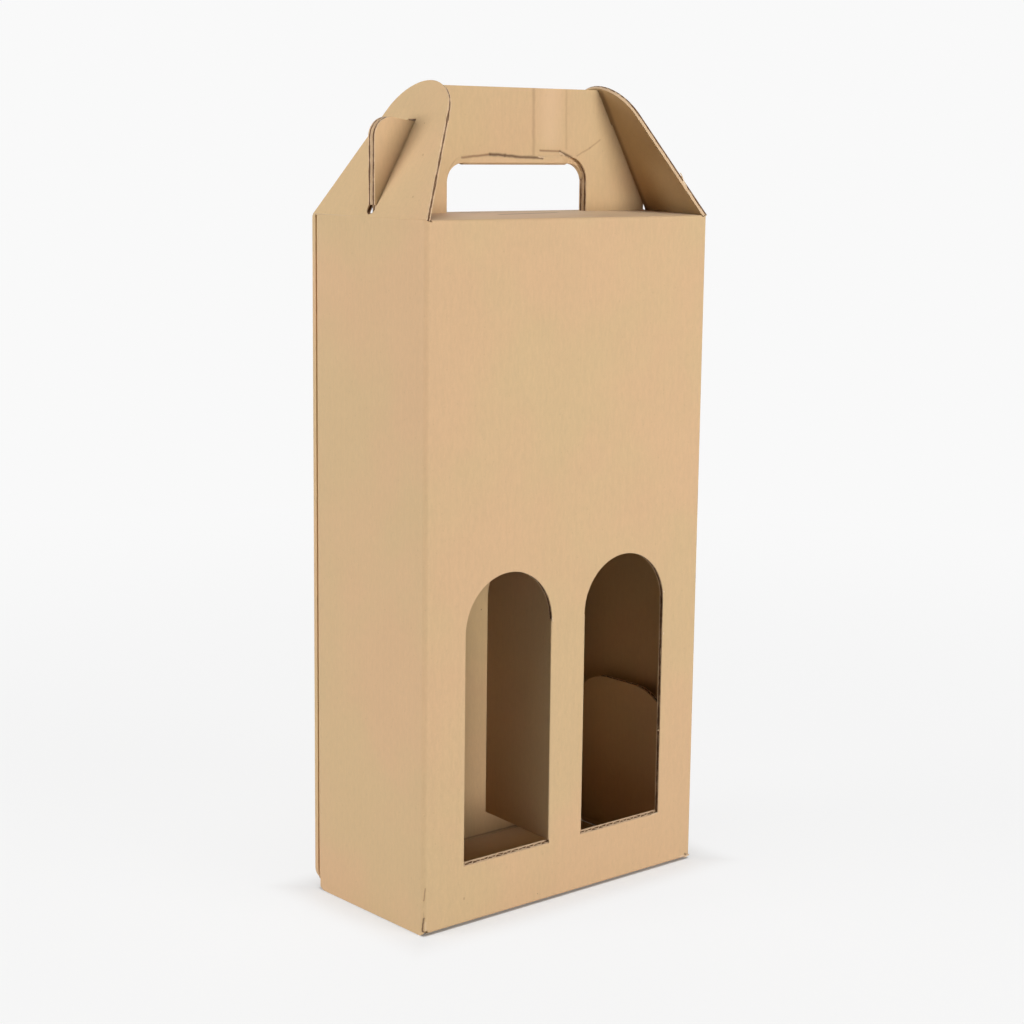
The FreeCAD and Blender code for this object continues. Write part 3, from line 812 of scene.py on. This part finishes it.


# The camera sees the floor fade to the backdrop, except close round the carton's foot, where less backdrop
# is mixed in and a painted contact shadow darkens the floor beyond its real shading.
def floorMaterial():
    material, tree = emptyMaterial("StudioFloor")
    place = addNode(tree, "ShaderNodeTexCoord").outputs["Object"]
    length = vector2(tree, "LENGTH", place)["Value"]
    far = ramp(tree, length, studio["fadeStart"], studio["fadeEnd"], studio["haze"], 1.0)
    parts = addNode(tree, "ShaderNodeSeparateXYZ", None, {0: place})
    sideways = math2(tree, "ABSOLUTE", parts.outputs[0])
    outX = math2(tree, "SUBTRACT", sideways, cartonHigh.x - 0.001)
    forward = math2(tree, "ADD", parts.outputs[1], 0.0009)  # stops short of the round corner behind
    outY = math2(tree, "SUBTRACT", math2(tree, "ABSOLUTE", forward), cartonHigh.y - 0.0016)
    beside = math2(tree, "MAXIMUM", outX, outY)
    # Painted contact shadow: near the foot the floor takes less of the bright backdrop, so it looks
    # darker.
    contactShade = ramp(tree, beside, 0.0, studio["contactReach"], studio["contactShade"], 0.0)
    far = math2(tree, "SUBTRACT", far, contactShade, clamp=True)
    far = math2(tree, "MULTIPLY", far, ramp(tree, beside, 0.0, 0.001))
    seen = addNode(tree, "ShaderNodeLightPath").outputs["Is Camera Ray"]
    colour = mixColour(tree, seen, studio["floorBounce"], studio["floorColour"])
    near = addNode(tree, "ShaderNodeBsdfDiffuse", None, {"Color": colour})
    blank = addNode(tree, "ShaderNodeEmission", None, {"Color": studio["backdrop"], "Strength": 1.0})
    mixed = addNode(tree, "ShaderNodeMixShader", None, {0: math2(tree, "MULTIPLY", far, seen)})
    tree.links.new(near.outputs[0], mixed.inputs[1])
    tree.links.new(blank.outputs[0], mixed.inputs[2])
    output = tree.nodes.new("ShaderNodeOutputMaterial")
    tree.links.new(mixed.outputs[0], output.inputs["Surface"])
    return material


def makeFloor():
    mesh = bpy.data.meshes.new("StudioFloor")
    made = bmesh.new()
    reach = studio["floorReach"]
    lift = Matrix.Translation((0, 0, studio["floorHeight"]))
    bmesh.ops.create_circle(made, cap_ends=True, segments=64, radius=reach, matrix=lift)
    made.to_mesh(mesh)
    made.free()
    mesh.materials.append(floorMaterial())
    floor = bpy.data.objects.new("StudioFloor", mesh)
    bpy.context.scene.collection.objects.link(floor)


def makeWorld():
    world = bpy.data.worlds.new("Studio")
    world.use_nodes = True
    tree = world.node_tree
    tree.nodes.clear()
    seen = addNode(tree, "ShaderNodeLightPath").outputs["Is Camera Ray"]
    colour = mixColour(tree, seen, studio["sky"], studio["backdrop"])
    shader = addNode(tree, "ShaderNodeBackground", None, {"Color": colour, "Strength": 1.0})
    output = tree.nodes.new("ShaderNodeOutputWorld")
    tree.links.new(shader.outputs[0], output.inputs["Surface"])
    bpy.context.scene.world = world


def makeLamp(name, place, size, power):
    data = bpy.data.lights.new(name, "AREA")
    data.shape = "DISK"
    data.size = size
    data.energy = power
    lamp = bpy.data.objects.new(name, data)
    lamp.location = place
    aim = Vector(studio["aim"]) - Vector(place)
    lamp.rotation_euler = aim.to_track_quat("-Z", "Y").to_euler()
    bpy.context.scene.collection.objects.link(lamp)


makeFloor()
makeWorld()
for lamp in lamps:
    makeLamp(**lamp)

# The photograph's viewing angle, in degrees, with its distance and lens.
camera = {
    "azimuth": -40.77,
    "elevation": 10.03,
    "roll": 0.69,
    "place": (-0.6753, -0.7838, 0.3727),
    "lens": 73.43,
    "sensor": 36.0,
}


def makeCamera():
    data = bpy.data.cameras.new("Camera")
    data.lens, data.sensor_width = camera["lens"], camera["sensor"]
    turn, rise, roll = (math.radians(camera[name]) for name in ("azimuth", "elevation", "roll"))
    back = Vector((math.sin(turn) * math.cos(rise), -math.cos(turn) * math.cos(rise), math.sin(rise)))
    level = Vector((math.cos(turn), math.sin(turn), 0))
    upright = back.cross(level)
    right = level * math.cos(roll) + upright * math.sin(roll)
    axes = Matrix((right, back.cross(right), back)).transposed().to_4x4()
    holder = bpy.data.objects.new("Camera", data)
    holder.matrix_world = Matrix.Translation(camera["place"]) @ axes
    bpy.context.scene.collection.objects.link(holder)
    bpy.context.scene.camera = holder


makeCamera()
bpy.context.scene.view_settings.view_transform = "Standard"
print("studio made")
